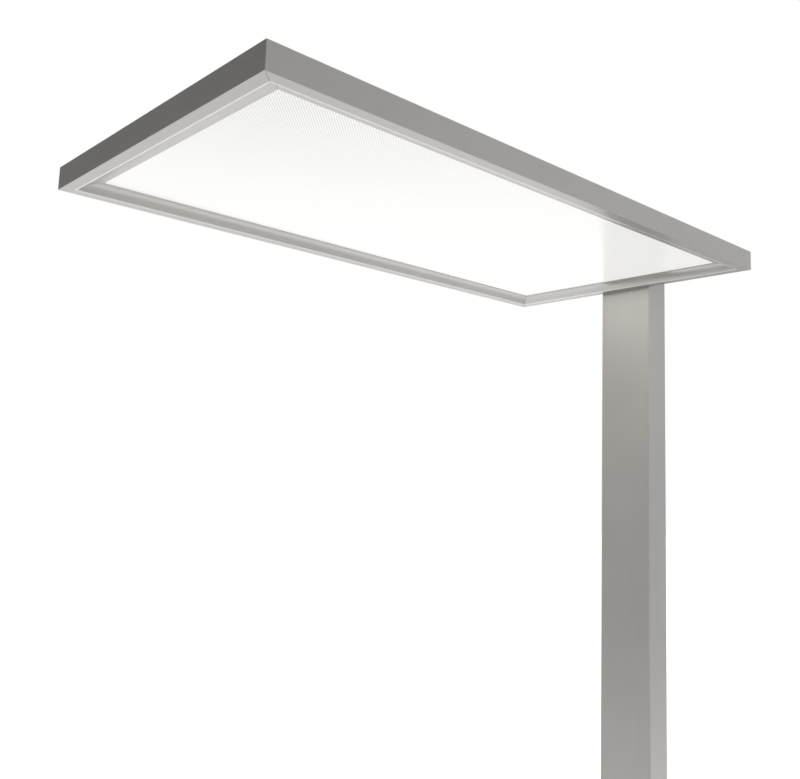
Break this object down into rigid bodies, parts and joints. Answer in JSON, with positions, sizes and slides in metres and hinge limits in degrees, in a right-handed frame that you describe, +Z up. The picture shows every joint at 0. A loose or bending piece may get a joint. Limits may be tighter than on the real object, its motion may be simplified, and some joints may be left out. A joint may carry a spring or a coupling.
{
  "type": "office floor lamp",
  "caption": "Office floor lamp: flat rectangular light head held at one short end by a slim rectangular post on a flat base plate, with push buttons on the post and a mains inlet at its foot.",
  "frame": {"origin": "on the floor, under the centre line of the post, on the underlay's lower face", "axes": "+Z up along the post, +X from the post towards the head's free end, +Y to the head's left side"},
  "size_m": [0.737, 0.33, 1.95],
  "materials": {
    "anodised_aluminium": "satin",
    "coated_aluminium_cover": "satin",
    "coated_steel_base": "satin",
    "underlay_rubber": "matte",
    "prism_acrylic": "gloss",
    "guide_acrylic": "gloss",
    "reflector_film": "satin",
    "opal_acrylic": "satin",
    "mill_aluminium": "satin",
    "zinc_steel": "satin",
    "circuit_board": "satin",
    "led_phosphor": "satin",
    "foam": "matte",
    "black_nylon": "matte",
    "nickel_brass": "satin",
    "graphite_plastic": "satin",
    "button_plastic": "satin",
    "white_plastic": "satin",
    "lead_jacket": "satin",
    "mains_jacket": "satin"
  },
  "bodies": {
    "lamp": {"frame_side_right": "anodised_aluminium", "frame_side_left": "anodised_aluminium", "frame_end_free": "anodised_aluminium", "frame_end_post": "anodised_aluminium", "post_tube": "anodised_aluminium", "post_cap": "anodised_aluminium", "top_cover": "coated_aluminium_cover", "base_plate": "coated_steel_base", "base_underlay": "underlay_rubber", "prism_panel": "prism_acrylic", "light_guide": "guide_acrylic", "reflector_sheet": "reflector_film", "top_window": "opal_acrylic", "back_plate": "mill_aluminium", "corner_keys": "mill_aluminium", "post_top_block": "mill_aluminium", "led_driver": "mill_aluminium", "corner_key_screws": "zinc_steel", "top_cover_screws": "zinc_steel", "head_bracket": "zinc_steel", "bracket_plate_screws": "zinc_steel", "bracket_frame_screws": "zinc_steel", "head_clamp_screws": "zinc_steel", "cap_screws": "zinc_steel", "foot_block": "zinc_steel", "foot_bolts": "zinc_steel", "foot_side_screws": "zinc_steel", "inlet_screws": "zinc_steel", "driver_tray": "zinc_steel", "tray_nuts": "zinc_steel", "tray_screws": "zinc_steel", "driver_screws": "zinc_steel", "board_screws": "zinc_steel", "led_strip_right": "circuit_board", "led_strip_left": "circuit_board", "uplight_board": "circuit_board", "control_board": "circuit_board", "led_packages": "led_phosphor", "uplight_leds": "led_phosphor", "foam_strips": "foam", "inlet_body": "black_nylon", "inlet_boot": "black_nylon", "lead_clips": "black_nylon", "switch_housings": "black_nylon", "inlet_pins": "nickel_brass", "control_bezel": "graphite_plastic", "head_connector": "white_plastic", "led_lead": "lead_jacket", "control_lead": "lead_jacket", "head_wires": "lead_jacket", "mains_lead": "mains_jacket"},
    "power_button": {"button_power": "button_plastic", "plunger_power": "black_nylon"},
    "dim_button": {"button_dim": "button_plastic", "plunger_dim": "black_nylon"}
  },
  "joints": [
    {"name": "power_press", "type": "slide", "parent": "lamp", "child": "power_button", "axis": [-1, 0, 0], "range_m": [0, 0.001], "stiffness_N_per_m": 600},
    {"name": "dim_press", "type": "slide", "parent": "lamp", "child": "dim_button", "axis": [-1, 0, 0], "range_m": [0, 0.001], "stiffness_N_per_m": 600}
  ]
}
